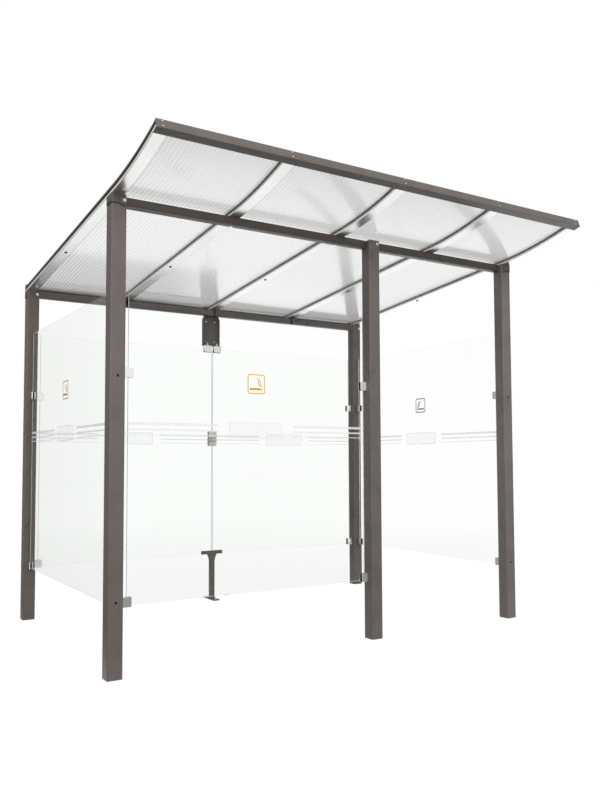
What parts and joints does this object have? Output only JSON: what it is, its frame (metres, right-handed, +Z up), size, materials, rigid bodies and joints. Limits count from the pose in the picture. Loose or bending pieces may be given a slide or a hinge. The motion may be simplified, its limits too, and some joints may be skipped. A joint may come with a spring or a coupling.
{
  "type": "smoking shelter",
  "caption": "Smoking shelter: square metal posts under a translucent roof with an upturned front, clear glass walls held by small clamps, and an open entrance in the front.",
  "frame": {"origin": "centre of the part's bounding box, on the ground that the posts stand on", "axes": "+X to the right across the width, seen from the front; +Y from the front to the rear; +Z up"},
  "size_m": [2.505, 2.1644, 2.2725],
  "materials": {
    "frame_paint": "satin powder coat, brown grey",
    "roof_edge_paint": "satin powder coat, brown grey",
    "fitting_paint": "satin powder coat, dark brown grey",
    "bar_aluminium": "bright mill finish",
    "roof_sheet": "translucent multiwall polycarbonate",
    "rubber": "matt black",
    "glass": "clear tempered glass",
    "clamp_steel": "finely brushed stainless steel",
    "connector_aluminium": "natural anodised"
  },
  "bodies": {
    "root": {"post_front_left": "frame_paint", "post_front_middle": "frame_paint", "post_front_right": "frame_paint", "post_rear_left": "frame_paint", "post_rear_right": "frame_paint", "sleeve_front_left": "frame_paint", "sleeve_front_right": "frame_paint", "sleeve_rear_left": "frame_paint", "sleeve_rear_right": "frame_paint", "front_beam_left": "frame_paint", "front_beam_right": "frame_paint", "rear_beam": "frame_paint", "glazing_bar_1": "bar_aluminium", "glazing_bar_2": "bar_aluminium", "glazing_bar_3": "bar_aluminium", "glazing_bar_4": "bar_aluminium", "glazing_bar_5": "bar_aluminium", "bar_cap_1": "roof_edge_paint", "bar_cap_2": "roof_edge_paint", "bar_cap_3": "roof_edge_paint", "bar_cap_4": "roof_edge_paint", "bar_cap_5": "roof_edge_paint", "roof_sheet_1": "roof_sheet", "roof_sheet_2": "roof_sheet", "roof_sheet_3": "roof_sheet", "roof_sheet_4": "roof_sheet", "edge_gaskets": "rubber", "front_edge_bar": "roof_edge_paint", "rear_edge_bar": "roof_edge_paint", "glass_front": "glass", "glass_left": "glass", "glass_right": "glass", "glass_rear_left": "glass", "glass_rear_right": "glass", "clamps_front": "clamp_steel", "clamps_left": "clamp_steel", "clamps_right": "clamp_steel", "clamps_rear": "clamp_steel", "hanging_bracket": "fitting_paint", "hanger_clamps": "clamp_steel", "joint_connector": "connector_aluminium", "glass_rubbers": "rubber", "foot_support": "fitting_paint"}
  },
  "joints": []
}
